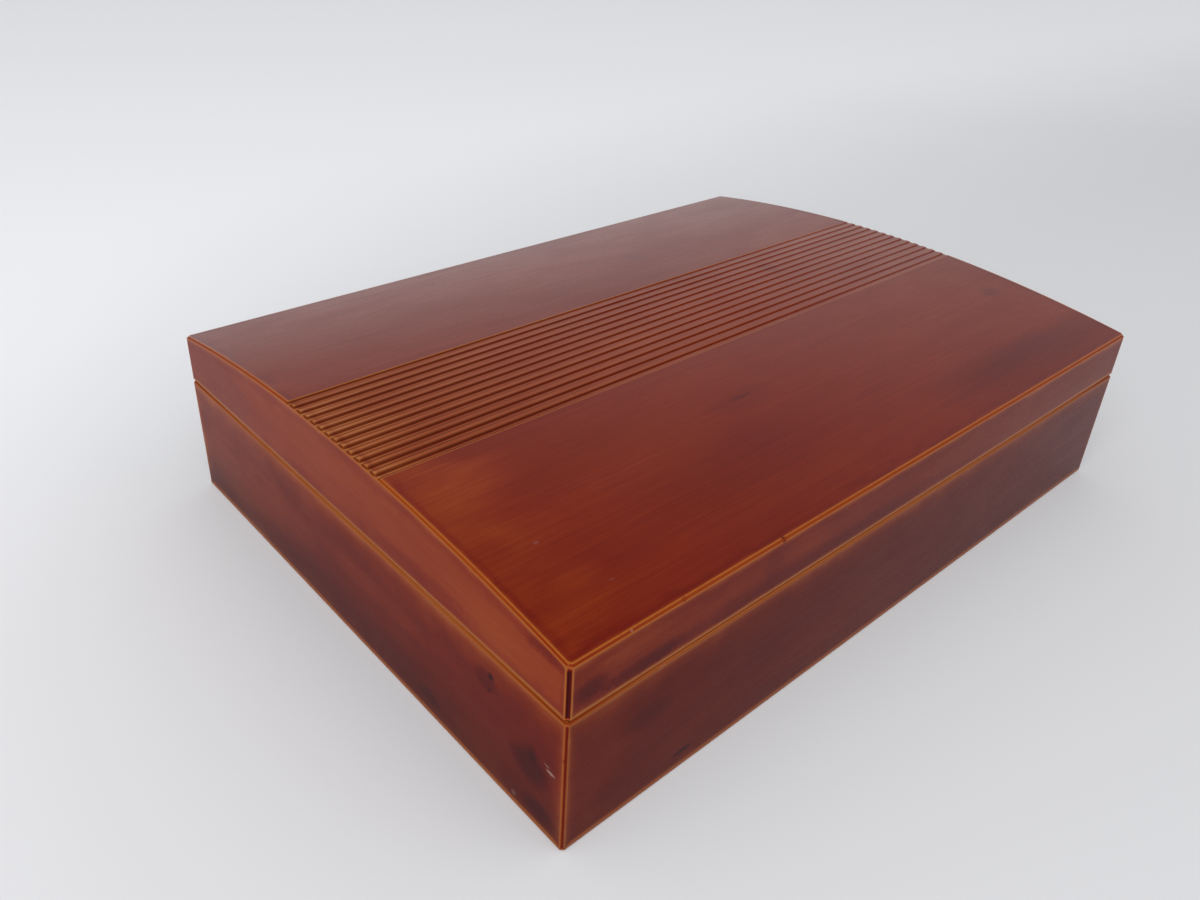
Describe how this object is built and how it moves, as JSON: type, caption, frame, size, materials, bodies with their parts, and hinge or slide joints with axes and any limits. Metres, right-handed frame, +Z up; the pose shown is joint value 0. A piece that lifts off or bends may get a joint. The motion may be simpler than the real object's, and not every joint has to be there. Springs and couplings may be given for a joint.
{
  "type": "document box",
  "caption": "Lacquered wooden document box: mitred case with an inner lip, and a crowned lift-off lid with a reeded band along its middle.",
  "frame": {"origin": "middle of the underside, on the surface that the box stands on", "axes": "+X along the long side and the reeds, +Y from the front side to the back side, +Z up"},
  "size_m": [0.34, 0.251, 0.0856],
  "materials": {
    "lid_lacquer": "clear red-brown lacquer over pale softwood, gloss, golden at the arrises",
    "case_lacquer": "clear red-brown lacquer over pale softwood, gloss, golden at the arrises",
    "inner_lacquer": "clear red-brown lacquer, semi-gloss",
    "bare_wood": "unfinished planed softwood"
  },
  "bodies": {
    "case": {"case_front_side": "case_lacquer", "case_back_side": "case_lacquer", "case_left_end": "case_lacquer", "case_right_end": "case_lacquer", "case_bottom_board": "inner_lacquer", "inner_lip_front": "inner_lacquer", "inner_lip_back": "inner_lacquer", "inner_lip_left": "inner_lacquer", "inner_lip_right": "inner_lacquer", "case_spline_front_left": "bare_wood", "case_spline_back_left": "bare_wood", "case_spline_front_right": "bare_wood", "case_spline_back_right": "bare_wood"},
    "lid": {"lid_top_board": "lid_lacquer", "lid_front_side": "lid_lacquer", "lid_back_side": "lid_lacquer", "lid_left_end": "lid_lacquer", "lid_right_end": "lid_lacquer", "lid_spline_front_left": "bare_wood", "lid_spline_back_left": "bare_wood", "lid_spline_front_right": "bare_wood", "lid_spline_back_right": "bare_wood"}
  },
  "joints": [
    {"name": "lid_lift", "type": "slide", "parent": "case", "child": "lid", "axis": [0, 0, 1], "range_m": [0, 0.12]}
  ]
}
